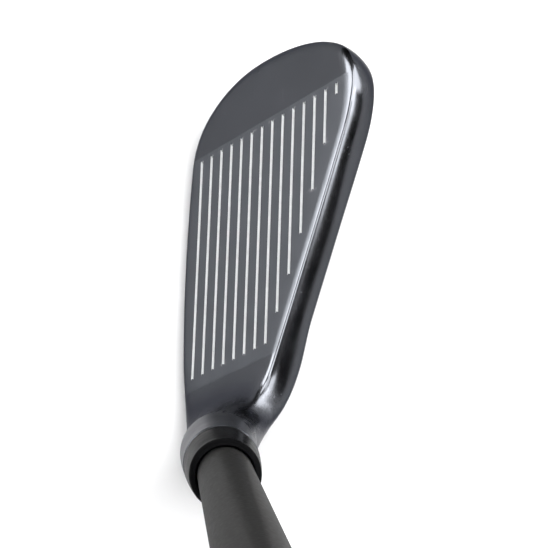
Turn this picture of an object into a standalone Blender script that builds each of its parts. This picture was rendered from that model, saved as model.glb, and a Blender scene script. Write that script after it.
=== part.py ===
"""Iron golf club, right-handed, about a 7 iron, standing as it does at address.

Metres, +Z up.  The club's target is -Y, its toe points to -X and the shaft
leans to +X.  The origin is the middle of the hand hold, on the shaft's axis.
Sizes below are in millimetres and are turned into metres where they are used.
"""
import math

import bpy
import numpy as np
from mathutils import Matrix, Vector

MM = 0.001

# ---------------------------------------------------------------- the club
LOFT = 34.0            # face leans back from upright, degrees
LIE = 63.3             # shaft's angle with the ground, degrees
CLUB_LENGTH = 940.0    # along the shaft's axis, ground to the grip's end
HOLD_FROM_BUTT = 115.0  # middle of the two hands
GAP = 0.30             # clearance that stands for glue and press fits

# score lines, in the face's own frame: u to the toe, v up the face, n inwards
LINE_COUNT = 14
LINE_PITCH = 3.40
LINE_LENGTH = 49.5
LINE_WIDTH = 0.74
LINE_DEPTH = 0.42
LINE_ABOVE_GROUND = 6.0   # height of the lowest line's toe end
SHORT_FROM = 27.2         # v from which lines stop short of the topline
SHORT_START = -43.9       # where the first short line stops
SHORT_SLOPE = 1.94        # further toe-ward for each mm up the face
SHORT_CURVE = 0.0285

# blade outline on the face, as joined cubic curves (point, handle, handle, point)
LEADING = [((-50.5, -4.2), (-36.0, -5.9), (-16.0, -5.9), (0.0, -4.6)),
           ((0.0, -4.6), (9.8, -3.7), (15.8, 5.0), (15.8, 18.5))]
TOPLINE = [((-56.0, 25.4), (-43.0, 31.4), (-26.0, 39.9), (-11.5, 46.3)),
           ((-11.5, 46.3), (-3.2, 49.9), (4.6, 49.8), (8.8, 44.4)),
           ((8.8, 44.4), (13.2, 38.4), (15.8, 29.0), (15.8, 18.5))]
ROLL_IN = 1.8          # the face's soft edge: how far it rolls in,
ROLL_DEEP = 0.65       # and how deep
TOE_ROLL_MORE = 1.2
TOE_CROWN_MORE = 0.95
NECK_ROLL_MORE = -0.5
NECK_DEEP_MORE = -0.05
NECK_THICK_MORE = 0.9
TOP_THICK = 7.1        # topline, front to back
TOP_CROWN = 1.15       # how far the topline's back edge drops
TOE_THICK = 8.6
SOLE_DEPTH = 15.6      # sole, front to back, square to the face
HEEL_DEPTH = 11.0
LEAD_RADIUS = 2.2
SOLE_CAMBER = 1.1
CAVITY_FLOOR = 3.6     # face wall left behind the cavity

# hosel, measured along the shaft's axis from the hosel's top (t, upwards)
HOSEL_TOP = (-91.0, 53.4, -31.0)   # its centre, in the face's frame
HOSEL_R_TOP = 6.75
HOSEL_R_LOW = 7.15
HOSEL_STRAIGHT = 24.0
# how far each side of the blade's heel runs on before it turns up the hosel
REACH_LEAD, REACH_FACE, REACH_TOP, REACH_BACK, REACH_SOLE = 0.95, 0.80, 1.15, 1.10, 1.08
RUBS = 80              # smoothing strokes where blade and hosel meet
RUB_BLADE, RUB_HOSEL = 9, 15   # rings of the blade and of the hosel they reach
BORE_R = 5.50
BORE_DEPTH = 33.0
BORE_POINT = 1.5       # the drill's point, below the bore's full depth
BORE_LEAD_IN = 0.4     # chamfer at the bore's mouth
RIM_R = 0.35           # rounding of the hosel's rim

# ferrule, shaft and grip, radii and stations along the same axis
FERRULE_TOP = 20.5
FERRULE_R_LOW = 6.65
FERRULE_R_TOP = 6.15
RING_LOW, RING_TOP, RING_DEEP = 2.2, 3.4, 0.10     # the ferrule's turned ring
CROWN_IN, CROWN_UP = 0.95, 2.6                     # its top's rounding
SHAFT_IN_HOSEL = 31.5
SHAFT_R_TIP = 4.72
SHAFT_TAPER = 0.0041
SHAFT_R_BUTT = 7.62
SHAFT_WALL = 1.35
TIP_CHAMFER = 0.35
PLUG_IN, PLUG_LENGTH, PLUG_CHAMFER = 1.0, 18.0, 0.6   # from the shaft's tip
GLUE_GAP, GLUE_BELOW_RIM = 0.25, 1.2
GRIP_LENGTH = 270.0
GRIP_R_MOUTH = 9.5
GRIP_R_BUTT = 13.0
TAPE_THICK = 0.35
CAP_THICK = 5.0
CAP_EDGE_R, CAP_PROUD = 2.6, 0.25
LIP = 0.6              # chamfers of the grip's mouth
MOUTH_SOLID = 4.0      # the grip's mouth hugs the shaft this far
TAPE_IN = 6.0          # the tape starts this far up the grip
VENT_R = 1.6

# the head is worked out on a fine grid of rings, and every few are kept
ALONG_BLADE, ALONG_BEND, ALONG_HOSEL = 150, 44, 24
N_FACE, N_TOP, N_BACK, N_SOLE = 20, 30, 48, 34
KEEP_BLADE, KEEP_BEND, KEEP_HOSEL = 5, 4, 8
KEEP_FACE, KEEP_TOP = (0, 5, 10, 15), (0, 4, 9, 15, 20, 24, 29)
KEEP_BACK, KEEP_SOLE = (3, 6, 9, 14, 19, 23, 27, 31, 35, 39, 43), (0, 3, 7, 12, 17, 21, 24, 28, 31)
ROUND = 32

for ob in list(bpy.data.objects):
    bpy.data.objects.remove(ob, do_unlink=True)


# ---------------------------------------------------------------- materials
def material(name, colour, rough, metal):
    m = bpy.data.materials.new(name)
    m.use_nodes = True
    b = m.node_tree.nodes["Principled BSDF"]
    b.inputs["Base Color"].default_value = (*colour, 1.0)
    b.inputs["Roughness"].default_value = rough
    b.inputs["Metallic"].default_value = metal
    return m


GUNMETAL = material("black_nickel_steel", (0.060, 0.063, 0.070), 0.16, 1.0)
ADHESIVE = material("epoxy", (0.30, 0.26, 0.16), 0.50, 0.0)
FERRULE = material("ferrule_plastic", (0.012, 0.012, 0.013), 0.20, 0.0)
GRAPHITE = material("shaft_lacquer", (0.075, 0.076, 0.080), 0.38, 0.0)
PLUG = material("plug_plastic", (0.45, 0.42, 0.35), 0.60, 0.0)
TAPE = material("grip_tape", (0.62, 0.58, 0.48), 0.80, 0.0)
RUBBER = material("grip_rubber", (0.020, 0.020, 0.021), 0.75, 0.0)
CAP = material("cap_rubber", (0.028, 0.028, 0.030), 0.60, 0.0)


# ---------------------------------------------------------------- placing
lie, loft = math.radians(LIE), math.radians(LOFT)

# the face's frame in the world: toe -X, up the face leaning back to +Y
FACE = Matrix(((-1, 0, 0), (0, math.sin(loft), math.cos(loft)),
               (0, math.cos(loft), -math.sin(loft)))).to_4x4()
AXIS_W = Vector((math.cos(lie), 0.0, math.sin(lie)))       # up the shaft
AXIS_F = FACE.to_3x3().transposed() @ AXIS_W                # same, face frame


def empty(name, matrix, parent=None):
    e = bpy.data.objects.new(name, None)
    bpy.context.scene.collection.objects.link(e)
    e.empty_display_size = 0.02
    e.parent = parent
    e.matrix_local = matrix
    return e


# hosel top's height over the ground, then the ground point of the axis
top_w = FACE.to_3x3() @ Vector(HOSEL_TOP)
top_height = top_w.z + LINE_ABOVE_GROUND
ground_t = -top_height / math.sin(lie)          # t where the axis meets the ground
BUTT_T = CLUB_LENGTH + ground_t
HOLD_T = BUTT_T - HOLD_FROM_BUTT
origin_w = top_w + AXIS_W * HOLD_T              # the hold, from the lowest line

club = empty("club_frame", Matrix.Identity(4))
face_frame = empty("face_frame", Matrix.Translation(-origin_w * MM) @ FACE, club)
axis_frame = empty("shaft_axis_frame",
                   Matrix.Translation((top_w - origin_w) * MM)
                   @ Matrix.Rotation(math.pi / 2 - lie, 4, "Y"), club)


def add(name, verts, faces, mat, parent, smooth_deg=35.0):
    me = bpy.data.meshes.new(name)
    me.from_pydata([tuple(Vector(v) * MM) for v in verts], [], faces)
    me.validate()
    me.shade_smooth()
    me.set_sharp_from_angle(angle=math.radians(smooth_deg))
    me.materials.append(mat)
    ob = bpy.data.objects.new(name, me)
    bpy.context.scene.collection.objects.link(ob)
    ob.parent = parent
    return ob


# ---------------------------------------------------------------- turned parts
def turned(name, loop, mat, seg=ROUND):
    """A closed (r, t) loop, counter-clockwise with r to the right, turned
    about the axis.  Points with r = 0 become poles."""
    verts, rings = [], []
    for r, t in loop:
        if r < 1e-9:
            rings.append([len(verts)] * seg)
            verts.append((0.0, 0.0, t))
        else:
            rings.append(list(range(len(verts), len(verts) + seg)))
            for i in range(seg):
                a = 2 * math.pi * i / seg
                verts.append((r * math.cos(a), r * math.sin(a), t))
    faces = []
    count = len(loop)
    for k in range(count):
        lo, hi = rings[k], rings[(k + 1) % count]
        for i in range(seg):
            j = (i + 1) % seg
            quad = [lo[i], lo[j], hi[j], hi[i]]
            face = [v for n, v in enumerate(quad) if v not in quad[:n]]
            if len(face) >= 3:
                faces.append(face)
    return add(name, verts, faces, mat, axis_frame)


def shaft_r(t):
    return min(SHAFT_R_BUTT, SHAFT_R_TIP + SHAFT_TAPER * max(0.0, t - FERRULE_TOP))


taper_end = FERRULE_TOP + (SHAFT_R_BUTT - SHAFT_R_TIP) / SHAFT_TAPER
shaft_top_t = BUTT_T - CAP_THICK - GAP
grip_low_t = BUTT_T - GRIP_LENGTH

# shaft: a tapered tube, open at both ends
tip_t = -SHAFT_IN_HOSEL
tube = [(SHAFT_R_TIP - TIP_CHAMFER, tip_t), (SHAFT_R_TIP, tip_t + TIP_CHAMFER)]
tube += [(shaft_r(t), t) for t in (0.0, FERRULE_TOP, 200.0, 400.0, taper_end)]
tube += [(SHAFT_R_BUTT, shaft_top_t), (SHAFT_R_BUTT - SHAFT_WALL, shaft_top_t)]
tube += [(shaft_r(t) - SHAFT_WALL, t) for t in (taper_end, 400.0, 200.0, FERRULE_TOP)]
tube += [(SHAFT_R_TIP - SHAFT_WALL, tip_t)]
turned("shaft", tube, GRAPHITE)

# plug that keeps the adhesive out of the shaft's bore
plug_r = SHAFT_R_TIP - SHAFT_WALL - GAP
plug_low = tip_t + PLUG_IN
plug_top = plug_low + PLUG_LENGTH
turned("tip_plug", [(0, plug_low), (plug_r - PLUG_CHAMFER, plug_low),
                    (plug_r, plug_low + PLUG_CHAMFER), (plug_r, plug_top - PLUG_CHAMFER),
                    (plug_r - PLUG_CHAMFER, plug_top), (0, plug_top)], PLUG, seg=20)

# adhesive sleeve between the shaft's tip and the hosel's bore
glue_in, glue_out = SHAFT_R_TIP + GLUE_GAP, BORE_R - GLUE_GAP
turned("hosel_adhesive", [(glue_in, plug_low), (glue_out, plug_low),
                          (glue_out, -GLUE_BELOW_RIM), (glue_in, -GLUE_BELOW_RIM)], ADHESIVE)

# ferrule: a tapered collar on the hosel's rim, rounded in at its top
fer = [(SHAFT_R_TIP + GAP, GAP), (FERRULE_R_LOW - 0.15, GAP), (FERRULE_R_LOW, GAP + 0.2)]
fer += [(FERRULE_R_LOW, RING_LOW), (FERRULE_R_LOW - RING_DEEP, RING_LOW + 0.3),
        (FERRULE_R_LOW - RING_DEEP, RING_TOP - 0.3), (FERRULE_R_LOW, RING_TOP)]
for k in range(1, 5):
    s = k / 4
    fer.append((FERRULE_R_LOW + (FERRULE_R_TOP - FERRULE_R_LOW) * s ** 1.3,
                RING_TOP + (FERRULE_TOP - CROWN_UP - 0.1 - RING_TOP) * s))
for k in range(1, 5):
    a = math.radians(90 * k / 4)
    fer.append((FERRULE_R_TOP - CROWN_IN * (1 - math.cos(a)),
                FERRULE_TOP - CROWN_UP * (1 - math.sin(a))))
fer += [(SHAFT_R_TIP + GAP, FERRULE_TOP)]
turned("ferrule", fer, FERRULE)

# grip: double-sided tape, the rubber sleeve on it, and the bonded butt cap
tape_in = SHAFT_R_BUTT + GAP
tape_out = tape_in + TAPE_THICK
turned("grip_tape", [(tape_in, grip_low_t + TAPE_IN), (tape_out, grip_low_t + TAPE_IN),
                     (tape_out, shaft_top_t - 1.0), (tape_in, shaft_top_t - 1.0)], TAPE)

bore = tape_out + GAP
sleeve = [(tape_in, grip_low_t + LIP), (tape_in + LIP, grip_low_t),
          (GRIP_R_MOUTH - LIP, grip_low_t), (GRIP_R_MOUTH, grip_low_t + LIP),
          (GRIP_R_MOUTH, grip_low_t + MOUTH_SOLID)]
for k in range(1, 8):
    s = k / 7
    sleeve.append((GRIP_R_MOUTH + (GRIP_R_BUTT - GRIP_R_MOUTH) * (0.72 * s + 0.28 * s ** 4),
                   grip_low_t + MOUTH_SOLID + (shaft_top_t - grip_low_t - MOUTH_SOLID) * s))
sleeve += [(bore, shaft_top_t), (bore, grip_low_t + MOUTH_SOLID + 1.0),
           (tape_in, grip_low_t + MOUTH_SOLID + LIP)]
turned("grip_sleeve", sleeve, RUBBER)

cap_low = BUTT_T - CAP_THICK
cap_r = GRIP_R_BUTT + CAP_PROUD
cap = [(VENT_R, cap_low), (GRIP_R_BUTT - 0.2, cap_low), (cap_r, cap_low + LIP)]
for k in range(5):
    a = math.radians(90 * k / 4)
    cap.append((cap_r - CAP_EDGE_R * (1 - math.cos(a)), BUTT_T - CAP_EDGE_R * (1 - math.sin(a))))
cap += [(VENT_R, BUTT_T)]
turned("grip_cap", cap, CAP)


# ---------------------------------------------------------------- the head
def bezier(p, s):
    a, b, c, d = ((1 - s) ** 3, 3 * s * (1 - s) ** 2, 3 * s * s * (1 - s), s ** 3)
    return Vector([a * p[0][i] + b * p[1][i] + c * p[2][i] + d * p[3][i] for i in (0, 1)])


def run_along(curves, fractions, fine=400):
    """Points and directions at fractions of the curves' joined length."""
    pts = []
    for n, c in enumerate(curves):
        pts += [bezier(c, k / fine) for k in range(0 if n == 0 else 1, fine + 1)]
    length = [0.0]
    for a, b in zip(pts, pts[1:]):
        length.append(length[-1] + (b - a).length)
    out, k = [], 0
    for f in fractions:
        want = f * length[-1]
        while k < len(pts) - 2 and length[k + 1] < want:
            k += 1
        p = pts[k].lerp(pts[k + 1], (want - length[k]) / (length[k + 1] - length[k]))
        a, b = pts[max(0, k - 12)], pts[min(len(pts) - 1, k + 13)]
        out.append((p, (b - a).normalized()))
    return out


def smooth(x):
    x = min(1.0, max(0.0, x))
    return x * x * (3 - 2 * x)


def quarter(t):
    """A quarter ellipse's drop: 0 at t = 0, 1 at t = 1, upright at the end."""
    t = min(1.0, max(0.0, t))
    return 1 - math.sqrt(max(0.0, 1 - t * t))


def section(top, top_out, low, low_out, a):
    """One closed loop round the blade: face, topline, back, sole."""
    heel = 1 - smooth(a / 0.16)
    up = max(0.0, top_out.y)
    down = smooth(max(0.0, -low_out.y))
    d_top = TOE_THICK + (TOP_THICK - TOE_THICK) * smooth(up / 0.85)
    d_low = TOE_THICK + (SOLE_DEPTH - TOE_THICK) * smooth((1 - a) / 0.46)
    d_low += (HEEL_DEPTH - d_low) * heel
    toeward_a, neck = smooth((a - 0.30) / 0.22), 1 - smooth(a / 0.13)
    toe_end = smooth((a - 0.50) / 0.15)
    roll = ROLL_IN + TOE_ROLL_MORE * toe_end + NECK_ROLL_MORE * neck
    deep = ROLL_DEEP + 0.35 * toe_end + NECK_DEEP_MORE * neck
    crown = TOP_CROWN + TOE_CROWN_MORE * toeward_a
    d_top += 0.9 * TOE_CROWN_MORE * toeward_a * smooth(up / 0.85) + NECK_THICK_MORE * neck

    def wall(n, depth):         # how far a wall stands in from the outline
        if n < deep:
            return roll * quarter((deep - n) / deep)
        w = (n - deep) / (depth - deep)
        return crown * w * w + 0.8 * quarter((n - depth + 1.0) / 1.0)

    lead = deep + (LEAD_RADIUS - deep) * down
    lead_in = roll + (LEAD_RADIUS - roll) * down

    def low_point(s):           # from the back edge round to the face
        if s > 0.62:            # leading edge's rounding
            w = math.radians(90) * (s - 0.62) / 0.38
            n = lead * (1 - math.sin(w))
            p = low - low_out * (lead_in * (1 - math.cos(w)))
            return Vector((p.x, p.y, n))
        if s < 0.20:            # trailing edge's rounding
            w = 1.0 - 0.10 * (1 - math.cos(math.radians(90) * s / 0.20))
        else:
            w = 0.90 * (0.62 - s) / 0.42
        n = lead + (d_low - lead) * w
        ins = math.tan(loft) * (n - lead) - SOLE_CAMBER * 4 * w * (1 - w)
        ins += 1.5 * quarter((w - 0.90) / 0.10)
        ins = ins * down + wall(n, d_low) * (1 - down)
        p = low - low_out * ins
        return Vector((p.x, p.y, n))

    def top_point(s):           # from the face back
        if s < 0.30:
            w = math.radians(90) * (1 - s / 0.30)
            n = deep * (1 - math.sin(w))
            p = top - top_out * (roll * (1 - math.cos(w)))
            return Vector((p.x, p.y, n))
        if s > 0.80:
            w = math.radians(90) * (s - 0.80) / 0.20
            n = d_top - 1.0 + math.sin(w)
        else:
            n = deep + (d_top - 1.0 - deep) * (s - 0.30) / 0.50
        p = top - top_out * wall(n, d_top)
        return Vector((p.x, p.y, n))

    loop = []
    first, last = low_point(1.0), top_point(0.0)
    for k in range(N_FACE):                       # face, leading edge upwards
        loop.append(first.lerp(last, k / N_FACE))
    for k in range(N_TOP):                        # topline, front to back
        loop.append(top_point(k / (N_TOP - 1)))
    start, end = top_point(1.0), low_point(0.0)
    window = smooth((a - 0.07) / 0.05) * (1 - smooth((a - 0.67) / 0.06))
    for k in range(1, N_BACK):                    # back, downwards
        c = k / N_BACK
        p = start.lerp(end, c)
        n = start.z + (end.z - start.z) * c
        cavity = smooth((c - 0.08) / 0.06) * (1 - smooth((c - 0.48) / 0.20))
        bulge = 0.9 * math.sin(math.pi * c) * smooth(a / 0.1) * (1 - smooth((a - 0.75) / 0.25))
        p.z = n + (CAVITY_FLOOR - n) * cavity * window + bulge * (1 - cavity)
        loop.append(p)
    for k in range(N_SOLE):                       # sole, back to front
        loop.append(low_point(k / N_SOLE))
    return loop


# stations crowd towards the toe's tip, where the outline turns fastest
stations = [0.9993 * (1 - (1 - k / (ALONG_BLADE - 1)) ** 1.15) for k in range(ALONG_BLADE)]
loops = []
for a, (tp, tt), (lp, lt) in zip(stations, run_along(TOPLINE, stations),
                                 run_along(LEADING, stations)):
    loops.append(section(tp, Vector((-tt.y, tt.x)), lp, Vector((lt.y, -lt.x)), a))
loops.reverse()                                   # toe first, heel last
n_loop = len(loops[0])

# hosel circles, each point facing the same way as its place on the blade
front = (Vector((0, 0, -1)) + AXIS_F * AXIS_F.z).normalized()
toeward = AXIS_F.cross(front)
if toeward.x < 0:
    toeward = -toeward
MARKS = [(0, -45.0), (N_FACE, 45.0), (N_FACE + N_TOP - 1, 125.0),
         (N_FACE + N_TOP + N_BACK - 1, 235.0), (n_loop, 315.0)]


def circle(t, r):
    c = Vector(HOSEL_TOP) + AXIS_F * t
    pts = []
    for i in range(n_loop):
        for (i0, a0), (i1, a1) in zip(MARKS, MARKS[1:]):
            if i0 <= i < i1:
                w = math.radians(a0 + (a1 - a0) * (i - i0) / (i1 - i0))
                pts.append(c + front * (r * math.cos(w)) + toeward * (r * math.sin(w)))
                break
    return pts


def between(i, knots):
    """A value eased from knot to knot round the loop."""
    for (i0, x0), (i1, x1) in zip(knots, knots[1:]):
        if i0 <= i <= i1:
            return x0 + (x1 - x0) * smooth((i - i0) / (i1 - i0))


# the neck: every point of the heel's end runs on in a smooth curve up the hosel
REACHES = [(0, REACH_LEAD), (N_FACE * 0.5, REACH_FACE), (N_FACE + N_TOP * 0.4, REACH_TOP),
           (N_FACE + N_TOP + N_BACK * 0.5, REACH_BACK), (n_loop - N_SOLE * 0.5, REACH_SOLE),
           (n_loop, REACH_LEAD)]
heel_loop, before = loops[-1], loops[-2]
hosel_loop = circle(-HOSEL_STRAIGHT, HOSEL_R_LOW)
heel_ring = len(loops) - 1
for k in range(1, ALONG_BEND + 1):
    s = k / ALONG_BEND
    h = (2 * s ** 3 - 3 * s ** 2 + 1, s ** 3 - 2 * s ** 2 + s,
         -2 * s ** 3 + 3 * s ** 2, s ** 3 - s ** 2)
    ring = []
    for i, (p0, pb, p1) in enumerate(zip(heel_loop, before, hosel_loop)):
        reach = (p1 - p0).length * between(i, REACHES)
        ring.append(p0 * h[0] + (p0 - pb).normalized() * (reach * h[1])
                    + p1 * h[2] + AXIS_F * (reach * h[3]))
    loops.append(ring)
for k in range(1, ALONG_HOSEL + 1):
    s = k / ALONG_HOSEL
    loops.append(circle(-HOSEL_STRAIGHT + (HOSEL_STRAIGHT - RIM_R) * s,
                        HOSEL_R_LOW + (HOSEL_R_TOP - HOSEL_R_LOW) * smooth(s)))
# and is then rubbed smooth, most where blade and hosel meet
first_ring, last_ring = heel_ring - RUB_BLADE, heel_ring + ALONG_BEND + RUB_HOSEL
grid = np.array([[tuple(p) for p in row] for row in loops])
stroke = np.array([0.5 * smooth((r - first_ring) / (RUB_BLADE + 14.0)) * smooth((last_ring - r) / 24.0)
                   for r in range(len(loops))])[1:-1, None, None]
for _ in range(RUBS):
    mean = (np.roll(grid, 1, 1) + np.roll(grid, -1, 1))[1:-1] + grid[:-2] + grid[2:]
    grid[1:-1] += stroke * (mean / 4 - grid[1:-1])
loops = [[Vector(p) for p in row] for row in grid.tolist()]

# every few rings and points are kept, always the ones at a turn of the shape
bend_ring, rim_ring = heel_ring + ALONG_BEND, len(loops) - 1
keep = [0, 1] + list(range(KEEP_BLADE - 1, heel_ring, KEEP_BLADE))
keep += list(range(heel_ring, bend_ring, KEEP_BEND))
keep += list(range(bend_ring, rim_ring + 1, KEEP_HOSEL))
loops.append(circle(0.0, HOSEL_R_TOP - RIM_R))     # rim, then down the bore
loops.append(circle(0.0, BORE_R + BORE_LEAD_IN))
loops.append(circle(-BORE_LEAD_IN, BORE_R))
loops.append(circle(-BORE_DEPTH, BORE_R))
keep += list(range(rim_ring + 1, len(loops)))
points = (list(KEEP_FACE) + [N_FACE + k for k in KEEP_TOP]
          + [N_FACE + N_TOP + k for k in KEEP_BACK]
          + [N_FACE + N_TOP + N_BACK - 1 + k for k in KEEP_SOLE])
loops = [[loops[r][i] for i in points] for r in keep]
n_loop = len(points)

verts = [p for loop in loops for p in loop]
faces = []
for r in range(len(loops) - 1):
    for i in range(n_loop):
        j = (i + 1) % n_loop
        faces.append([r * n_loop + i, (r + 1) * n_loop + i,
                      (r + 1) * n_loop + j, r * n_loop + j])
faces.append(list(range(n_loop)))
last = (len(loops) - 1) * n_loop
verts.append(Vector(HOSEL_TOP) - AXIS_F * (BORE_DEPTH + BORE_POINT))
tip = len(verts) - 1
for i in range(n_loop):
    faces.append([last + i, tip, last + (i + 1) % n_loop])
head = add("club_head", verts, faces, GUNMETAL, face_frame, 32.0)

# score lines, cut with one comb of bars
cut_v, cut_f = [], []
for k in range(LINE_COUNT):
    v = LINE_PITCH * k
    over = v - SHORT_FROM
    end = -LINE_LENGTH
    if over > -1e-6:
        end = SHORT_START + SHORT_SLOPE * over + SHORT_CURVE * over * over
    base = len(cut_v)
    w, d, slope = LINE_WIDTH / 2, LINE_DEPTH, 0.5     # slope: how far an end runs out
    for u, sign in ((end, 1), (0.0, -1)):
        cut_v += [(u, v - w, -1.0), (u, v + w, -1.0), (u, v + w, 0.06),
                  (u + sign * slope, v + w * 0.45, d), (u + sign * slope, v - w * 0.45, d),
                  (u, v - w, 0.06)]
    for i in range(6):
        j = (i + 1) % 6
        cut_f.append([base + i, base + j, base + 6 + j, base + 6 + i])
    cut_f.append([base + i for i in reversed(range(6))])
    cut_f.append([base + 6 + i for i in range(6)])
comb = add("score_line_cutter", cut_v, cut_f, GUNMETAL, face_frame)
comb.hide_render = True
comb.display_type = "WIRE"
cut = head.modifiers.new("score_lines", "BOOLEAN")
cut.operation = "DIFFERENCE"
cut.solver = "EXACT"
cut.object = comb
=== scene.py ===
"""Iron golf club at address: looks, floor, light and camera.

Sizes are in millimetres in the face's own frame (u to the toe, v up the face,
n into the head) and along the shaft's axis (t upwards from the hosel's top).
"""
import math

import bpy
import numpy as np
from mathutils import Matrix, Vector


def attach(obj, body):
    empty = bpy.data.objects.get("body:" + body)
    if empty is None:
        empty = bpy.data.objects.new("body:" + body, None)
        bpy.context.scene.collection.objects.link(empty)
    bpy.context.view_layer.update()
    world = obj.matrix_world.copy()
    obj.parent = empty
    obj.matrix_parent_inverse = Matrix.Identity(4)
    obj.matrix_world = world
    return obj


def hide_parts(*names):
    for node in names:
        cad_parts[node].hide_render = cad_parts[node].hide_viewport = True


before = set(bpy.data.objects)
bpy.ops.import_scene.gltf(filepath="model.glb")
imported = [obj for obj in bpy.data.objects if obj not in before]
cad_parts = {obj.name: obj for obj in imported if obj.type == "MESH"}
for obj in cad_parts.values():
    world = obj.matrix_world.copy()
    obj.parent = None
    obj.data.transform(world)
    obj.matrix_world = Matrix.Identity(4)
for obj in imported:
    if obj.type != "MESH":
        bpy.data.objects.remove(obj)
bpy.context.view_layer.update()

MM = 0.001
D = bpy.data
SC = bpy.context.scene

# ------------------------------------------------------------ the club's sizes
LOFT, LIE = math.radians(34.0), math.radians(63.3)
CLUB_LENGTH, HOLD_FROM_BUTT = 940.0, 115.0
GAP = 0.30                          # clearance between neighbouring pieces

# score lines: the short ones stop along a slightly curved slope
LINE_COUNT, LINE_PITCH, LINE_LENGTH = 14, 3.40, 49.5
LINE_WIDTH, LINE_DEPTH, LINE_ABOVE_GROUND = 0.74, 0.42, 6.0
SHORT_FROM, SHORT_START, SHORT_SLOPE, SHORT_CURVE = 27.2, -43.9, 1.94, 0.0285

# blade outline on the face, as joined cubic curves (point, handle, handle, point)
LEADING = [((-50.5, -4.2), (-36.0, -5.9), (-16.0, -5.9), (0.0, -4.6)),
           ((0.0, -4.6), (9.8, -3.7), (15.8, 5.0), (15.8, 18.5))]
TOPLINE = [((-56.0, 25.4), (-43.0, 31.4), (-26.0, 39.9), (-11.5, 46.3)),
           ((-11.5, 46.3), (-3.2, 49.9), (4.6, 49.8), (8.8, 44.4)),
           ((8.8, 44.4), (13.2, 38.4), (15.8, 29.0), (15.8, 18.5))]
ROLL_IN, ROLL_DEEP = 1.8, 0.65      # the face's soft edge: how far in, how deep
TOE_ROLL_MORE, TOE_DEEP_MORE, TOE_CROWN_MORE = 1.2, 0.35, 0.95
NECK_ROLL_MORE, NECK_DEEP_MORE, NECK_THICK_MORE = -0.5, -0.05, 0.9
TOP_THICK, TOP_CROWN, TOE_THICK = 7.1, 1.15, 8.6
SOLE_DEPTH, HEEL_DEPTH, LEAD_RADIUS, SOLE_CAMBER = 15.6, 11.0, 2.2, 1.1
CAVITY_FLOOR, BACK_BULGE = 3.6, 0.9

# hosel, and how far each side of the heel runs on before it turns up into it
HOSEL_TOP = (-91.0, 53.4, -31.0)
HOSEL_R_TOP, HOSEL_R_LOW, HOSEL_STRAIGHT, RIM_R = 6.75, 7.15, 24.0, 0.35
REACH_LEAD, REACH_FACE, REACH_TOP, REACH_BACK, REACH_SOLE = 0.95, 0.80, 1.15, 1.10, 1.08
RUBS, RUB_BLADE, RUB_HOSEL = 80, 9, 15   # smoothing strokes, and the rings they reach
BORE_R, BORE_DEPTH, BORE_LEAD_IN, BORE_POINT = 5.50, 33.0, 0.4, 1.5

# ferrule, shaft and grip: radii and stations along the shaft's axis
FERRULE_TOP, FERRULE_R_LOW, FERRULE_R_TOP = 20.5, 6.65, 6.15
RING_LOW, RING_TOP, RING_DEEP = 2.15, 3.45, 0.13    # the ferrule's turned ring
CROWN_IN, CROWN_UP = 0.95, 2.6                      # its top's rounding
SHAFT_IN_HOSEL, SHAFT_R_TIP, SHAFT_TAPER = 31.5, 4.72, 0.0041
SHAFT_R_BUTT, SHAFT_WALL, TIP_CHAMFER = 7.62, 1.35, 0.35
GRIP_LENGTH, GRIP_R_MOUTH, GRIP_R_BUTT = 270.0, 9.5, 13.0
LIP, MOUTH_SOLID = 0.6, 4.0         # the mouth's chamfer, and how far it hugs the shaft
TAPE_THICK, CAP_THICK, VENT_R = 0.35, 5.0, 1.6
CAP_PROUD, CAP_EDGE_R = 0.25, 2.6
CAP_RING = (7.8, 8.6, 0.3)          # a groove on the cap: inner, outer radius, depth

# the grip's moulded pattern: crossed channels, with plain bands between
PATTERN_TURNS, PATTERN_PITCH, PATTERN_DEEP, CHANNEL = 14, 4.6, 0.42, 0.16
PATTERN_FROM, PATTERN_TO, PATTERN_FADE = 0.03, 0.965, 0.012    # of the sleeve's length
PLAIN_BANDS, BAND_HALF, BAND_FADE = (0.28, 0.53, 0.78), 0.010, 0.006

# the face's frame in the world: toe -X, up the face leaning back to +Y
FACE3 = Matrix(((-1, 0, 0), (0, math.sin(LOFT), math.cos(LOFT)),
                (0, math.cos(LOFT), -math.sin(LOFT))))
AXIS_W = Vector((math.cos(LIE), 0.0, math.sin(LIE)))
AXIS_F = FACE3.transposed() @ AXIS_W
top_w = FACE3 @ Vector(HOSEL_TOP)
BUTT_T = CLUB_LENGTH - (top_w.z + LINE_ABOVE_GROUND) / math.sin(LIE)
origin_w = top_w + AXIS_W * (BUTT_T - HOLD_FROM_BUTT)
FACE = Matrix.Translation(-origin_w * MM) @ FACE3.to_4x4()
AXIS = (Matrix.Translation((top_w - origin_w) * MM)
        @ Matrix.Rotation(math.pi / 2 - LIE, 4, "Y"))
GROUND_Z = (-LINE_ABOVE_GROUND - origin_w.z) * MM


def in_face(u, v, n):
    """A point of the face's frame, in the world and in metres."""
    return FACE @ (Vector((u, v, n)) * MM)


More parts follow.
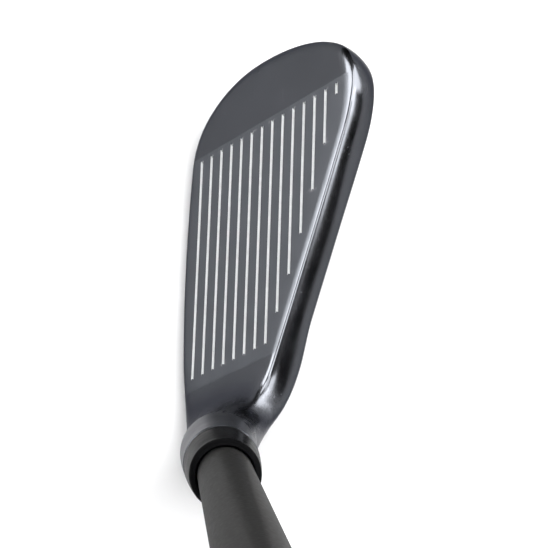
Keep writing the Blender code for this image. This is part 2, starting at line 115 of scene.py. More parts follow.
# ------------------------------------------------------------------ materials
class Nodes:
    """Short-hand for a material's node tree."""

    def __init__(self, name):
        self.m = D.materials.new(name)
        self.m.use_nodes = True
        self.t = self.m.node_tree
        self.b = self.t.nodes["Principled BSDF"]

    def add(self, kind, **sets):
        n = self.t.nodes.new(kind)
        for k, v in sets.items():
            if k.startswith("i_"):      # an input socket's value
                n.inputs[k[2:]].default_value = v
            else:
                setattr(n, k, v)
        return n

    def link(self, a, b):
        self.t.links.new(a, b)

    def local(self, place):
        """Object coordinates turned into a piece's own frame, in metres."""
        tc, inv = self.add("ShaderNodeTexCoord"), place.inverted()
        mp = self.add("ShaderNodeMapping")
        mp.inputs["Rotation"].default_value = inv.to_euler()
        mp.inputs["Location"].default_value = inv.translation
        self.link(tc.outputs["Object"], mp.inputs["Vector"])
        return mp.outputs["Vector"]

    def stretched(self, vec, scale):
        mp = self.add("ShaderNodeMapping")
        mp.inputs["Scale"].default_value = scale
        self.link(vec, mp.inputs["Vector"])
        return mp.outputs["Vector"]

    def noise(self, vec, scale, detail=4.0, rough=0.55):
        n = self.add("ShaderNodeTexNoise", i_Scale=scale, i_Detail=detail,
                     i_Roughness=rough)
        self.link(vec, n.inputs["Vector"])
        return n.outputs["Fac"]

    def math(self, op, a, b, clamp=False):
        n = self.add("ShaderNodeMath", operation=op, use_clamp=clamp)
        for k, x in enumerate((a, b)):
            if isinstance(x, (int, float)):
                n.inputs[k].default_value = x
            else:
                self.link(x, n.inputs[k])
        return n.outputs[0]

    def remap(self, x, lo, hi, to_lo, to_hi, smooth=False):
        n = self.add("ShaderNodeMapRange", clamp=True)
        if smooth:
            n.interpolation_type = "SMOOTHSTEP"
        for k, val in zip(("From Min", "From Max", "To Min", "To Max"),
                          (lo, hi, to_lo, to_hi)):
            n.inputs[k].default_value = val
        self.link(x, n.inputs["Value"])
        return n.outputs["Result"]

    def mix(self, fac, a, b):
        n = self.add("ShaderNodeMix", data_type="RGBA")
        for x, k in ((fac, 0), (a, 6), (b, 7)):
            if isinstance(x, (int, float)):
                n.inputs[k].default_value = x
            elif isinstance(x, tuple):
                n.inputs[k].default_value = (*x, 1.0)
            else:
                self.link(x, n.inputs[k])
        return n.outputs[2]

    def bump(self, height, strength, distance, after=None):
        n = self.add("ShaderNodeBump", i_Strength=strength, i_Distance=distance)
        self.link(height, n.inputs["Height"])
        if after is not None:
            self.link(after, n.inputs["Normal"])
        return n.outputs["Normal"]

    def to(self, **sockets):
        """Feeds the shader's sockets, and gives the material back."""
        for k, x in sockets.items():
            s = self.b.inputs[k.replace("_", " ")]
            if isinstance(x, (int, float)):
                s.default_value = x
            else:
                self.link(x, s)
        return self.m


def gunmetal():
    """Black nickel over forged steel: polished, but blasted between the
    score lines' ends.  pos is the face's u, v, n in metres."""
    k = Nodes("black_nickel")
    k.b.inputs["Metallic"].default_value = 1.0
    k.b.inputs["Specular Tint"].default_value = (0.42, 0.42, 0.435, 1.0)
    pos = k.local(FACE)
    sep = k.add("ShaderNodeSeparateXYZ")
    k.link(pos, sep.inputs[0])
    u, _, n = sep.outputs
    # blasted field: on the face, between the lines' ends and a little more
    toe_side = k.remap(u, 0.0007, 0.0012, 1.0, 0.0, True)
    heel_side = k.remap(u, -0.0530, -0.0515, 0.0, 1.0, True)
    on_face = k.remap(n, 0.00010, 0.00030, 1.0, 0.0, True)
    field = k.math("MULTIPLY", k.math("MULTIPLY", toe_side, heel_side), on_face)
    # fine grain of the blasting, and the long soft lines of hand polishing
    grain = k.noise(pos, 9000.0, 2.0, 0.6)
    polish = k.noise(k.stretched(pos, (260.0, 2600.0, 2600.0)), 1.0, 3.0, 0.6)
    cloud = k.noise(pos, 55.0, 4.0, 0.55)
    smudge = k.noise(pos, 210.0, 5.0, 0.62)
    hairs = k.noise(k.stretched(pos, (90.0, 5200.0, 900.0)), 1.0, 1.0, 0.4)
    scratch = k.remap(hairs, 0.66, 0.74, 0.0, 1.0)
    # the hosel is left satin from the lathe
    along = k.add("ShaderNodeSeparateXYZ")
    k.link(k.local(AXIS), along.inputs[0])
    hosel = k.remap(along.outputs["Z"], -0.030, -0.017, 0.0, 1.0, True)
    # wear shows on the tightest edges
    edge = k.remap(k.add("ShaderNodeNewGeometry").outputs["Pointiness"],
                   0.55, 0.70, 0.0, 1.0)
    worn = k.math("MULTIPLY", edge, k.remap(smudge, 0.45, 0.7, 0.0, 0.55))
    base = k.mix(k.remap(cloud, 0.3, 0.7, 0.0, 1.0),
                 (0.050, 0.052, 0.0565), (0.057, 0.059, 0.065))
    base = k.mix(field, base, (0.0450, 0.0472, 0.0517))
    base = k.mix(hosel, base, (0.040, 0.042, 0.046))
    base = k.mix(worn, base, (0.30, 0.30, 0.31))
    # a mirror on the blade, duller where the finish is scratched, in the bend
    # of the neck, on the hosel and most of all in the blasted field
    neck = k.remap(u, -0.0615, -0.0558, 1.0, 0.0, True)
    rough = k.remap(smudge, 0.3, 0.7, 0.13, 0.20)
    for where, duller in ((scratch, 0.10), (neck, 0.11), (hosel, 0.03), (field, 0.20)):
        rough = k.math("ADD", rough, k.math("MULTIPLY", where, duller), clamp=True)
    grain_height = k.math("ADD", k.math("MULTIPLY", field, 0.9), 0.10)
    nrm = k.bump(polish, 0.05, 0.00002)
    nrm = k.bump(k.math("MULTIPLY", grain, grain_height), 0.22, 0.00003, nrm)
    return k.to(Base_Color=base, Roughness=rough, Normal=nrm)


def line_paint():
    """White enamel in the score lines, a little chipped and dusty."""
    k = Nodes("score_line_enamel")
    pos = k.local(AXIS)
    dust = k.noise(pos, 600.0, 4.0, 0.6)
    chip = k.remap(k.noise(pos, 2600.0, 2.0, 0.5), 0.70, 0.76, 0.0, 1.0)
    base = k.mix(k.remap(dust, 0.35, 0.7, 0.0, 1.0),
                 (0.56, 0.57, 0.575), (0.47, 0.48, 0.485))
    base = k.mix(chip, base, (0.38, 0.38, 0.39))
    rough = k.remap(dust, 0.3, 0.7, 0.30, 0.48)
    return k.to(Base_Color=base, Roughness=rough,
                Normal=k.bump(dust, 0.15, 0.00003))


def ferrule_plastic():
    """Polished black, with the faint rings of the lathe."""
    k = Nodes("ferrule_black")
    pos = k.local(AXIS)
    smudge = k.noise(pos, 260.0, 5.0, 0.6)
    lathe = k.noise(k.stretched(pos, (120.0, 120.0, 9000.0)), 1.0, 2.0, 0.5)
    base = k.mix(smudge, (0.003, 0.003, 0.0033), (0.006, 0.006, 0.0065))
    rough = k.remap(smudge, 0.3, 0.7, 0.16, 0.27)
    k.b.inputs["Specular IOR Level"].default_value = 0.0007
    return k.to(Base_Color=base, Roughness=rough, Normal=k.bump(lathe, 0.06, 0.00002))


def shaft_lacquer():
    """Satin dark grey lacquer with the wound fibre just showing through."""
    k = Nodes("shaft_satin_grey")
    pos = k.local(AXIS)
    cloud = k.noise(pos, 35.0, 3.0, 0.5)
    fibre = k.noise(k.stretched(pos, (2400.0, 2400.0, 60.0)), 1.0, 3.0, 0.6)
    peel = k.noise(pos, 1400.0, 2.0, 0.5)
    base = k.mix(fibre, (0.0165, 0.0160, 0.0156), (0.0215, 0.0209, 0.0204))
    base = k.mix(k.math("MULTIPLY", cloud, 0.5), base, (0.030, 0.0293, 0.0287))
    rough = k.remap(peel, 0.3, 0.7, 0.30, 0.36)
    k.b.inputs["Specular IOR Level"].default_value = 0.0010
    return k.to(Base_Color=base, Roughness=rough, Normal=k.bump(peel, 0.03, 0.00001))


def rubber(name, dark, light):
    """Matt black rubber, dusty in places and finely pored."""
    k = Nodes(name)
    pos = k.local(AXIS)
    dust = k.noise(pos, 90.0, 5.0, 0.6)
    pores = k.noise(pos, 4200.0, 3.0, 0.65)
    base = k.mix(k.remap(dust, 0.35, 0.72, 0.0, 1.0), dark, light)
    rough = k.remap(dust, 0.3, 0.7, 0.62, 0.82)
    k.b.inputs["Specular IOR Level"].default_value = 0.16
    return k.to(Base_Color=base, Roughness=rough, Normal=k.bump(pores, 0.35, 0.00006))


def mottled(name, dark, light, scale, smoothest, roughest):
    """For the hidden pieces: two shades in soft patches."""
    k = Nodes(name)
    patch = k.noise(k.local(AXIS), scale, 4.0, 0.6)
    return k.to(Base_Color=k.mix(patch, dark, light),
                Roughness=k.remap(patch, 0.3, 0.7, smoothest, roughest),
                Normal=k.bump(patch, 0.2, 0.00005))


GUNMETAL, ENAMEL = gunmetal(), line_paint()
FERRULE, LACQUER = ferrule_plastic(), shaft_lacquer()
RUBBER = rubber("grip_rubber", (0.0065, 0.0065, 0.0070), (0.0125, 0.0125, 0.0128))
CAP_RUBBER = rubber("cap_rubber", (0.0080, 0.0080, 0.0084), (0.0150, 0.0150, 0.0152))
HIDDEN = {
    "hosel_adhesive": mottled("epoxy", (0.20, 0.17, 0.09), (0.33, 0.29, 0.18),
                              400.0, 0.25, 0.45),
    "tip_plug": mottled("plug_plastic", (0.38, 0.35, 0.29), (0.48, 0.45, 0.38),
                        500.0, 0.45, 0.65),
    "grip_tape": mottled("tape_paper", (0.52, 0.47, 0.36), (0.64, 0.59, 0.47),
                         900.0, 0.7, 0.9),
}
for node, mat in HIDDEN.items():
    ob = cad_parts[node]
    ob.data.materials.clear()
    ob.data.materials.append(mat)


# ------------------------------------------------------------------ mesh tools
def mesh_of(name, verts, faces, mats, place):
    """An object from points in millimetres in the frame `place`."""
    me = D.meshes.new(name)
    me.from_pydata([tuple(place @ (Vector(p) * MM)) for p in verts], [], faces)
    me.validate()
    for m in mats:
        me.materials.append(m)
    ob = D.objects.new(name, me)
    SC.collection.objects.link(ob)
    return ob


def cut_out(ob, cutter):
    """Cuts the cutter out of the object for good, and removes the cutter."""
    mod = ob.modifiers.new("cut", "BOOLEAN")
    mod.operation, mod.solver, mod.object = "DIFFERENCE", "EXACT", cutter
    bpy.context.view_layer.update()
    dg = bpy.context.evaluated_depsgraph_get()
    baked = D.meshes.new_from_object(ob.evaluated_get(dg))
    ob.modifiers.clear()
    ob.data = baked
    D.objects.remove(cutter)


def fit(ob, node, sharp=30.0):
    """Shades a finished piece and puts it in its node's place."""
    ob.data.shade_smooth()
    ob.data.set_sharp_from_angle(angle=math.radians(sharp))
    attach(ob, "root")
    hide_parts(node)


def turned(name, loop, mat, node, seg, shape=None, sharp=30.0):
    """A closed (r, t) loop turned about the shaft's axis.  shape(r, t, angle)
    may move a point out or in."""
    verts, faces = [], []
    for r, t in loop:
        for i in range(seg):
            a = 2 * math.pi * i / seg
            q = r if shape is None else shape(r, t, a)
            verts.append((q * math.cos(a), q * math.sin(a), t))
    for k in range(len(loop)):
        lo, hi = seg * k, seg * ((k + 1) % len(loop))
        for i in range(seg):
            j = (i + 1) % seg
            faces.append([lo + i, lo + j, hi + j, hi + i])
    fit(mesh_of(name, verts, faces, [mat], AXIS), node, sharp)


def smooth(x):
    """An S-shaped ease from 0 to 1."""
    x = min(1.0, max(0.0, x))
    return x * x * (3 - 2 * x)


def arc(cx, cy, r, a0, a1, n):
    """Points round an arc in degrees, for turned outlines."""
    return [(cx + r * math.cos(math.radians(a0 + (a1 - a0) * k / n)),
             cy + r * math.sin(math.radians(a0 + (a1 - a0) * k / n))) for k in range(n + 1)]


# ------------------------------------------------------------------- the shaft
def shaft_r(t):
    """The shaft's radius: straight in the hosel, then the taper, then straight."""
    return min(SHAFT_R_BUTT, SHAFT_R_TIP + SHAFT_TAPER * max(0.0, t - FERRULE_TOP))


taper_end = FERRULE_TOP + (SHAFT_R_BUTT - SHAFT_R_TIP) / SHAFT_TAPER
tip_t, shaft_top = -SHAFT_IN_HOSEL, BUTT_T - CAP_THICK - GAP
TAPER_STEPS, TAPER_STEP = 27, 25.0
tube = [(SHAFT_R_TIP - TIP_CHAMFER, tip_t), (SHAFT_R_TIP, tip_t + TIP_CHAMFER)]
tube += [(shaft_r(t), t) for t in (0.0, FERRULE_TOP)]
for k in range(1, TAPER_STEPS + 1):
    t = FERRULE_TOP + TAPER_STEP * k
    tube.append((shaft_r(t), t))
tube += [(shaft_r(taper_end), taper_end), (SHAFT_R_BUTT, shaft_top)]
tube += [(SHAFT_R_BUTT - SHAFT_WALL, shaft_top)]
tube += [(shaft_r(t) - SHAFT_WALL, t) for t in (taper_end, 400.0, 200.0, FERRULE_TOP)]
tube += [(SHAFT_R_TIP - SHAFT_WALL, tip_t)]
turned("shaft_tube", tube, LACQUER, "shaft", seg=160)

# ----------------------------------------------------------------- the ferrule
ferrule_in = SHAFT_R_TIP + GAP
fer = [(ferrule_in, GAP)] + arc(FERRULE_R_LOW - 0.2, GAP + 0.2, 0.2, -90, 0, 4)
fer += [(FERRULE_R_LOW, RING_LOW)]
for k in range(7):              # the turned ring, a shallow hollow
    fer.append((FERRULE_R_LOW - RING_DEEP * math.sin(math.pi * k / 6),
                RING_LOW + 0.15 + (RING_TOP - RING_LOW - 0.3) * k / 6))
for k in range(15):             # the taper
    s = k / 14
    fer.append((FERRULE_R_LOW + (FERRULE_R_TOP - FERRULE_R_LOW) * s ** 1.3,
                RING_TOP + (FERRULE_TOP - CROWN_UP - 0.1 - RING_TOP) * s))
for k in range(11):             # the rounded top
    w = math.radians(9 * k)
    fer.append((FERRULE_R_TOP - CROWN_IN * (1 - math.cos(w)),
                FERRULE_TOP - CROWN_UP * (1 - math.sin(w))))
fer += [(ferrule_in + 0.12, FERRULE_TOP), (ferrule_in, FERRULE_TOP - 0.12)]
turned("ferrule_collar", fer, FERRULE, "ferrule", seg=160)

# -------------------------------------------------------------------- the grip
grip_low, sleeve_top = BUTT_T - GRIP_LENGTH, shaft_top
sleeve_in = SHAFT_R_BUTT + GAP
bore = sleeve_in + TAPE_THICK + GAP


def from_centre(x):
    """How far x is from the middle of its cell, when cells are 1 wide."""
    return abs((x + 0.5) % 1.0 - 0.5)


def grip_shape(r, t, a):
    """Moulded pattern: crossed shallow channels, plain bands between."""
    if r < GRIP_R_MOUTH - 0.3:      # the bore is plain
        return r
    s = (t - grip_low) / (sleeve_top - grip_low)
    show = min(smooth((s - PATTERN_FROM) / PATTERN_FADE),
               1 - smooth((s - PATTERN_TO) / PATTERN_FADE))
    for band in PLAIN_BANDS:
        show = min(show, smooth((abs(s - band) - BAND_HALF) / BAND_FADE))
    around, along = a * PATTERN_TURNS / (2 * math.pi), t / PATTERN_PITCH
    d = min(from_centre(around + along), from_centre(around - along))
    return r - PATTERN_DEEP * show * (1 - smooth(d / CHANNEL))


SLEEVE_RINGS = 420
sleeve = [(sleeve_in, grip_low + LIP), (sleeve_in + 0.5, grip_low)]
sleeve += arc(GRIP_R_MOUTH - LIP, grip_low + LIP, LIP, -90, 0, 4)
for k in range(1, SLEEVE_RINGS + 1):
    s = k / SLEEVE_RINGS
    sleeve.append((GRIP_R_MOUTH + (GRIP_R_BUTT - GRIP_R_MOUTH) * (0.72 * s + 0.28 * s ** 4),
                   grip_low + LIP + (sleeve_top - grip_low - LIP) * s))
sleeve += [(bore, sleeve_top), (bore, grip_low + MOUTH_SOLID + 1.0)]
sleeve += [(sleeve_in, grip_low + MOUTH_SOLID + LIP)]
turned("grip_rubber_sleeve", sleeve, RUBBER, "grip_sleeve", seg=168,
       shape=grip_shape, sharp=50.0)

# --------------------------------------------------------------------- the cap
cap_low, cap_r = BUTT_T - CAP_THICK, GRIP_R_BUTT + CAP_PROUD
ring_in, ring_out, ring_deep = CAP_RING
cap = [(VENT_R, cap_low), (GRIP_R_BUTT - 0.2, cap_low)]
cap += arc(cap_r - LIP, cap_low + LIP, LIP, -60, 0, 4)
cap += arc(cap_r - CAP_EDGE_R, BUTT_T - CAP_EDGE_R, CAP_EDGE_R, 0, 90, 12)
cap += [(ring_out, BUTT_T), (ring_out - 0.15, BUTT_T - ring_deep)]
cap += [(ring_in + 0.15, BUTT_T - ring_deep), (ring_in, BUTT_T)]
cap += [(VENT_R + 0.4, BUTT_T), (VENT_R, BUTT_T - 0.4)]
turned("grip_butt_cap", cap, CAP_RUBBER, "grip_cap", seg=128)


# -------------------------------------------------------------------- the head
# a grid of loops: along the blade, round the bend and up the hosel
ALONG_BLADE, ALONG_BEND, ALONG_HOSEL = 150, 44, 24
# points of a loop: up the face, over the topline, down the back, under the sole
N_FACE, N_TOP, N_BACK, N_SOLE = 20, 30, 48, 34
# how much of the topline's and of the sole's points each rounded edge takes
TOP_FRONT, TOP_BACK, SOLE_LEAD, SOLE_TRAIL = 0.30, 0.20, 0.38, 0.20
TRAIL_LIFT = 0.10                   # the trailing edge's share of the sole's depth


def bezier(p, s):
    """A point on one cubic curve."""
    w = ((1 - s) ** 3, 3 * s * (1 - s) ** 2, 3 * s * s * (1 - s), s ** 3)
    return Vector([sum(w[k] * p[k][i] for k in range(4)) for i in (0, 1)])


def run_along(curves, fractions, fine=400):
    """Points and directions at fractions of the joined curves' length."""
    pts = []
    for n, c in enumerate(curves):
        pts += [bezier(c, k / fine) for k in range(0 if n == 0 else 1, fine + 1)]
    length = [0.0]
    for a, b in zip(pts, pts[1:]):
        length.append(length[-1] + (b - a).length)
    out, k = [], 0
    for f in fractions:
        want = f * length[-1]
        while k < len(pts) - 2 and length[k + 1] < want:
            k += 1
        p = pts[k].lerp(pts[k + 1], (want - length[k]) / (length[k + 1] - length[k]))
        a, b = pts[max(0, k - 12)], pts[min(len(pts) - 1, k + 13)]
        out.append((p, (b - a).normalized()))
    return out


def quarter(t):
    """A quarter ellipse's drop: 0 at t = 0, 1 at t = 1, upright at the end."""
    t = min(1.0, max(0.0, t))
    return 1 - math.sqrt(max(0.0, 1 - t * t))


def section(top, top_out, low, low_out, a):
    """One closed loop round the blade, a of the way from heel to toe tip: face,
    topline, back, sole.  top and low are the outline's points there, and
    top_out and low_out the directions that point out of the blade."""
    heel = 1 - smooth(a / 0.16)
    up = max(0.0, top_out.y)
    down = smooth(max(0.0, -low_out.y))
    d_top = TOE_THICK + (TOP_THICK - TOE_THICK) * smooth(up / 0.85)
    d_low = TOE_THICK + (SOLE_DEPTH - TOE_THICK) * smooth((1 - a) / 0.46)
    d_low += (HEEL_DEPTH - d_low) * heel
    toe_half, toe_end = smooth((a - 0.30) / 0.22), smooth((a - 0.50) / 0.15)
    neck = 1 - smooth(a / 0.13)
    roll = ROLL_IN + TOE_ROLL_MORE * toe_end + NECK_ROLL_MORE * neck
    deep = ROLL_DEEP + TOE_DEEP_MORE * toe_end + NECK_DEEP_MORE * neck
    crown = TOP_CROWN + TOE_CROWN_MORE * toe_half
    d_top += 0.9 * TOE_CROWN_MORE * toe_half * smooth(up / 0.85) + NECK_THICK_MORE * neck

    def wall(n, depth):         # how far a wall stands in from the outline
        if n < deep:
            return roll * quarter((deep - n) / deep)
        w = (n - deep) / (depth - deep)
        return crown * w * w + 0.8 * quarter((n - depth + 1.0) / 1.0)

    lead = deep + (LEAD_RADIUS - deep) * down
    lead_in = roll + (LEAD_RADIUS - roll) * down

    def low_point(s):           # from the back edge round to the face
        if s > 1 - SOLE_LEAD:   # leading edge's rounding
            w = math.radians(90) * (s - (1 - SOLE_LEAD)) / SOLE_LEAD
            n = lead * (1 - math.sin(w))
            p = low - low_out * (lead_in * (1 - math.cos(w)))
            return Vector((p.x, p.y, n))
        if s < SOLE_TRAIL:      # trailing edge's rounding
            w = 1.0 - TRAIL_LIFT * (1 - math.cos(math.radians(90) * s / SOLE_TRAIL))
        else:
            w = (1 - TRAIL_LIFT) * (1 - SOLE_LEAD - s) / (1 - SOLE_LEAD - SOLE_TRAIL)
        n = lead + (d_low - lead) * w
        ins = math.tan(LOFT) * (n - lead) - SOLE_CAMBER * 4 * w * (1 - w)
        ins += 1.5 * quarter((w - (1 - TRAIL_LIFT)) / TRAIL_LIFT)
        ins = ins * down + wall(n, d_low) * (1 - down)
        p = low - low_out * ins
        return Vector((p.x, p.y, n))

    def top_point(s):           # from the face back
        if s < TOP_FRONT:
            w = math.radians(90) * (1 - s / TOP_FRONT)
            n = deep * (1 - math.sin(w))
            p = top - top_out * (roll * (1 - math.cos(w)))
            return Vector((p.x, p.y, n))
        if s > 1 - TOP_BACK:
            w = math.radians(90) * (s - (1 - TOP_BACK)) / TOP_BACK
            n = d_top - 1.0 + math.sin(w)
        else:
            n = deep + (d_top - 1.0 - deep) * (s - TOP_FRONT) / (1 - TOP_BACK - TOP_FRONT)
        p = top - top_out * wall(n, d_top)
        return Vector((p.x, p.y, n))

    loop = []
    first, last = low_point(1.0), top_point(0.0)
    for k in range(N_FACE):                       # face, leading edge upwards
        loop.append(first.lerp(last, k / N_FACE))
    for k in range(N_TOP):                        # topline, front to back
        loop.append(top_point(k / (N_TOP - 1)))
    start, end = top_point(1.0), low_point(0.0)
    window = smooth((a - 0.07) / 0.05) * (1 - smooth((a - 0.67) / 0.06))
    for k in range(1, N_BACK):                    # back, downwards
        c = k / N_BACK
        p = start.lerp(end, c)
        n = start.z + (end.z - start.z) * c
        cavity = smooth((c - 0.08) / 0.06) * (1 - smooth((c - 0.48) / 0.20))
        bulge = BACK_BULGE * math.sin(math.pi * c)
        bulge *= smooth(a / 0.1) * (1 - smooth((a - 0.75) / 0.25))
        p.z = n + (CAVITY_FLOOR - n) * cavity * window + bulge * (1 - cavity)
        loop.append(p)
    for k in range(N_SOLE):                       # sole, back to front
        loop.append(low_point(k / N_SOLE))
    return loop


# stations crowd towards the toe's tip, where the outline turns fastest
stations = [0.9993 * (1 - (1 - k / (ALONG_BLADE - 1)) ** 1.15) for k in range(ALONG_BLADE)]
loops = []
for a, (tp, tt), (lp, lt) in zip(stations, run_along(TOPLINE, stations),
                                 run_along(LEADING, stations)):
    loops.append(section(tp, Vector((-tt.y, tt.x)), lp, Vector((lt.y, -lt.x)), a))
loops.reverse()                                   # toe first, heel last
n_loop = len(loops[0])

# hosel circles, each point facing the same way as its place on the blade
front = (Vector((0, 0, -1)) + AXIS_F * AXIS_F.z).normalized()
toeward = AXIS_F.cross(front)
if toeward.x < 0:
    toeward = -toeward
MARKS = [(0, -45.0), (N_FACE, 45.0), (N_FACE + N_TOP - 1, 125.0),
         (N_FACE + N_TOP + N_BACK - 1, 235.0), (n_loop, 315.0)]


def circle(t, r):
    """A loop round the shaft's axis at t."""
    c = Vector(HOSEL_TOP) + AXIS_F * t
    pts = []
    for i in range(n_loop):
        for (i0, a0), (i1, a1) in zip(MARKS, MARKS[1:]):
            if i0 <= i < i1:
                w = math.radians(a0 + (a1 - a0) * (i - i0) / (i1 - i0))
                pts.append(c + front * (r * math.cos(w)) + toeward * (r * math.sin(w)))
                break
    return pts


def between(i, knots):
    """A value eased from knot to knot round the loop."""
    for (i0, x0), (i1, x1) in zip(knots, knots[1:]):
        if i0 <= i <= i1:
            return x0 + (x1 - x0) * smooth((i - i0) / (i1 - i0))


# the neck: every point of the heel's end runs on in a smooth curve up the hosel
REACHES = [(0, REACH_LEAD), (N_FACE * 0.5, REACH_FACE), (N_FACE + N_TOP * 0.4, REACH_TOP),
           (N_FACE + N_TOP + N_BACK * 0.5, REACH_BACK), (n_loop - N_SOLE * 0.5, REACH_SOLE),
           (n_loop, REACH_LEAD)]
heel_loop, before = loops[-1], loops[-2]
hosel_loop = circle(-HOSEL_STRAIGHT, HOSEL_R_LOW)
heel_ring = len(loops) - 1
for k in range(1, ALONG_BEND + 1):
    s = k / ALONG_BEND
    h = (2 * s ** 3 - 3 * s ** 2 + 1, s ** 3 - 2 * s ** 2 + s,
         -2 * s ** 3 + 3 * s ** 2, s ** 3 - s ** 2)
    ring = []
    for i, (p0, p_before, p1) in enumerate(zip(heel_loop, before, hosel_loop)):
        reach = (p1 - p0).length * between(i, REACHES)
        ring.append(p0 * h[0] + (p0 - p_before).normalized() * (reach * h[1])
                    + p1 * h[2] + AXIS_F * (reach * h[3]))
    loops.append(ring)
for k in range(1, ALONG_HOSEL + 1):
    s = k / ALONG_HOSEL
    loops.append(circle(-HOSEL_STRAIGHT + (HOSEL_STRAIGHT - RIM_R) * s,
                        HOSEL_R_LOW + (HOSEL_R_TOP - HOSEL_R_LOW) * smooth(s)))

# the grid so far is rubbed smooth, most where blade and hosel meet
first_ring, last_ring = heel_ring - RUB_BLADE, heel_ring + ALONG_BEND + RUB_HOSEL
ease_in, ease_out = RUB_BLADE + 14.0, 24.0        # rings over which the rubbing fades
stroke = [0.5 * smooth((r - first_ring) / ease_in) * smooth((last_ring - r) / ease_out)
          for r in range(1, len(loops) - 1)]
stroke = np.array(stroke)[:, None, None]
grid = np.array([[tuple(p) for p in row] for row in loops])
for _ in range(RUBS):
    mean = (np.roll(grid, 1, 1) + np.roll(grid, -1, 1))[1:-1] + grid[:-2] + grid[2:]
    grid[1:-1] += stroke * (mean / 4 - grid[1:-1])
loops = [[Vector(p) for p in row] for row in grid.tolist()]

# the rim, and down the bore
for k in range(1, 5):
    w = math.radians(90) * k / 4
    loops.append(circle(-RIM_R * (1 - math.sin(w)), HOSEL_R_TOP - RIM_R * (1 - math.cos(w))))
loops += [circle(0.0, BORE_R + BORE_LEAD_IN), circle(-BORE_LEAD_IN, BORE_R),
          circle(-BORE_DEPTH, BORE_R)]

verts = [p for loop in loops for p in loop]
faces = []
for r in range(len(loops) - 1):
    for i in range(n_loop):
        j = (i + 1) % n_loop
        faces.append([r * n_loop + i, (r + 1) * n_loop + i,
                      (r + 1) * n_loop + j, r * n_loop + j])
faces.append(list(range(n_loop)))
last = (len(loops) - 1) * n_loop
verts.append(Vector(HOSEL_TOP) - AXIS_F * (BORE_DEPTH + BORE_POINT))
tip = len(verts) - 1
faces += [[last + i, tip, last + (i + 1) % n_loop] for i in range(n_loop)]
head = mesh_of("iron_head", verts, faces, [GUNMETAL, ENAMEL], FACE)

# score lines: round-bottomed bars, cut out of the face, which slope at their ends
END_SLOPE = 1.1
cut_v, cut_f = [], []
for k in range(LINE_COUNT):
    v = LINE_PITCH * k
    over = v - SHORT_FROM
    end = -LINE_LENGTH
    if over > -1e-6:
        end = SHORT_START + SHORT_SLOPE * over + SHORT_CURVE * over * over
    base, w, d = len(cut_v), LINE_WIDTH / 2, LINE_DEPTH
    half = [(w + 0.02, -1.0), (w + 0.02, 0.0), (w * 0.96, 0.10), (w * 0.80, d * 0.72),
            (w * 0.40, d)]
    profile = [(-half[0][0], half[0][1])] + half + [(-y, z) for y, z in reversed(half[1:])]
    m = len(profile)
    for u, sign in ((end, 1), (0.0, -1)):
        cut_v += [(u + sign * max(0.0, z) * END_SLOPE, v + y, z) for y, z in profile]
    for i in range(m):
        j = (i + 1) % m
        cut_f.append([base + i, base + j, base + m + j, base + m + i])
    cut_f.append([base + i for i in reversed(range(m))])
    cut_f.append([base + m + i for i in range(m)])
comb = mesh_of("comb", cut_v, cut_f, [GUNMETAL, ENAMEL], FACE)
for poly in comb.data.polygons:
    poly.material_index = 1         # the channels' walls keep the enamel
cut_out(head, comb)
fit(head, "club_head", sharp=28.0)

# ------------------------------------------------------------------- the floor
paper = Nodes("floor_paper")
paper_pos = paper.add("ShaderNodeTexCoord").outputs["Object"]
paper_base = paper.mix(paper.noise(paper_pos, 3.0, 3.0, 0.5),
                       (0.86, 0.86, 0.865), (0.88, 0.88, 0.885))
PAPER = paper.to(Base_Color=paper_base, Roughness=0.9)

FLOOR_R, FLOOR_SIDES, FLOOR_BELOW = 1.8, 96, 0.0016     # metres
head_mid = in_face(-35.0, 20.0, 0.0)                    # every light aims here
floor_z = GROUND_Z - FLOOR_BELOW
floor_points = []
for k in range(FLOOR_SIDES):
    a = 2 * math.pi * k / FLOOR_SIDES
    floor_points.append((head_mid.x + FLOOR_R * math.cos(a),
                         head_mid.y + FLOOR_R * math.sin(a), floor_z))
floor_me = D.meshes.new("floor")
floor_me.from_pydata(floor_points, [], [list(range(FLOOR_SIDES))])
floor_me.materials.append(PAPER)
floor = D.objects.new("floor", floor_me)
SC.collection.objects.link(floor)


# ------------------------------------------------------------------- the light
def softbox(name, centre, width, height, radiance, sheen_only):
    """A flat rectangular light aimed at the head; radiance is what a mirror
    would see in it.  sheen_only: it shows in gloss and adds no shadows."""
    li = D.lights.new(name, "AREA")
    li.shape, li.size, li.size_y = "RECTANGLE", width, height
    li.energy = radiance * math.pi * width * height
    ob = D.objects.new(name, li)
    ob.location = centre
    ob.rotation_euler = (head_mid - centre).to_track_quat("-Z", "Y").to_euler()
    ob.visible_diffuse = not sheen_only
    SC.collection.objects.link(ob)


def direction(azimuth, elevation, distance):
    """A place round the head: azimuth 0 is the target side (-Y), 90 is +X."""
    a, e = math.radians(azimuth), math.radians(elevation)
    return head_mid + Vector((math.sin(a) * math.cos(e), -math.cos(a) * math.cos(e),
                              math.sin(e))) * distance


# name, azimuth, elevation, distance, width, height, radiance
SHEEN_BOXES = [
    ("back_toe", -144, 21, 1.3, 0.66, 0.80, 15.5),
    ("back_mid", -167, 27, 1.3, 0.42, 0.48, 17.5),
    ("back_heel", 174, 27, 1.3, 0.42, 0.46, 13.0),
    ("bridge_toe", -80, 62, 1.5, 0.9, 0.9, 14.0),
    ("bridge_heel", 95, 68, 1.5, 0.6, 0.6, 14.0),
    ("front", -23, 21, 1.6, 1.10, 1.10, 17.5),
    ("front_top", 22, 65, 1.5, 0.70, 0.36, 14.5),
]
for name, azimuth, elevation, distance, width, height, radiance in SHEEN_BOXES:
    softbox(name, direction(azimuth, elevation, distance), width, height, radiance, True)
softbox("overhead", direction(180, 75, 1.5), 0.8, 1.6, 9.5, False)

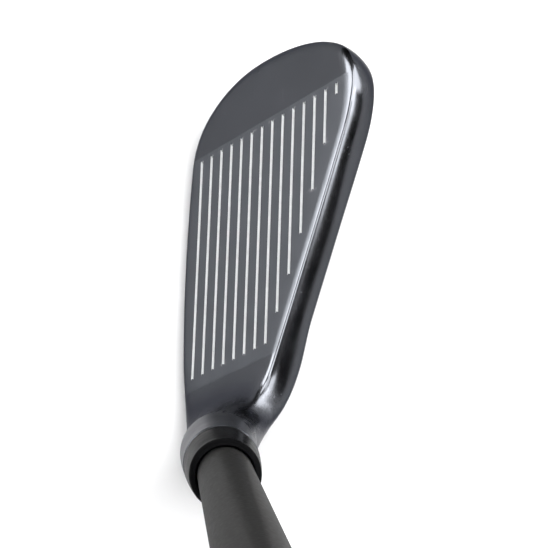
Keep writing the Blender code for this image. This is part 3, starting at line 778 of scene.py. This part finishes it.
# a room that is dark low down and light above, behind a plain pale backdrop
ROOM_FROM, ROOM_TO, ROOM_DARK, ROOM_LIGHT = 0.20, 0.66, 0.012, 0.52
BACKDROP = 0.93
world = D.worlds.new("studio")
SC.world = world
world.use_nodes = True
tree = world.node_tree
sky = tree.nodes["Background"]
place = tree.nodes.new("ShaderNodeTexCoord")
split = tree.nodes.new("ShaderNodeSeparateXYZ")
room = tree.nodes.new("ShaderNodeMapRange")
room.interpolation_type = "SMOOTHSTEP"
for key, val in zip(("From Min", "From Max", "To Min", "To Max"),
                    (ROOM_FROM, ROOM_TO, ROOM_DARK, ROOM_LIGHT)):
    room.inputs[key].default_value = val
ray = tree.nodes.new("ShaderNodeLightPath")
either = tree.nodes.new("ShaderNodeMix")
tree.links.new(place.outputs["Generated"], split.inputs[0])
tree.links.new(split.outputs["Z"], room.inputs["Value"])
tree.links.new(ray.outputs["Is Camera Ray"], either.inputs[0])
tree.links.new(room.outputs["Result"], either.inputs[2])
either.inputs[3].default_value = BACKDROP
tree.links.new(either.outputs[0], sky.inputs["Color"])

SC.view_settings.view_transform = "Standard"
SC.view_settings.look = "None"

# ------------------------------------------------------------------ the camera
# it looks down beside the shaft at the face; points are in the face's frame
CAM_AT, CAM_AIM = (-262.8, 410.4, -292.8), (-34.7, 24.6, 0.0)
CAM_UP = (0.9042, 0.3196, -0.2833)
CAM_SENSOR, CAM_LENS = 36.0, 179.3
CAM_NEAR, CAM_FAR = 0.01, 50.0
cam = D.cameras.new("camera")
cam.sensor_width, cam.lens = CAM_SENSOR, CAM_LENS
cam.clip_start, cam.clip_end = CAM_NEAR, CAM_FAR
cam_ob = D.objects.new("camera", cam)
SC.collection.objects.link(cam_ob)
back = (in_face(*CAM_AT) - in_face(*CAM_AIM)).normalized()
up = FACE.to_3x3() @ Vector(CAM_UP)
right = up.cross(back).normalized()
up = back.cross(right)
cam_place = Matrix((right, up, back)).transposed().to_4x4()
cam_place.translation = in_face(*CAM_AT)
cam_ob.matrix_world = cam_place
SC.camera = cam_ob
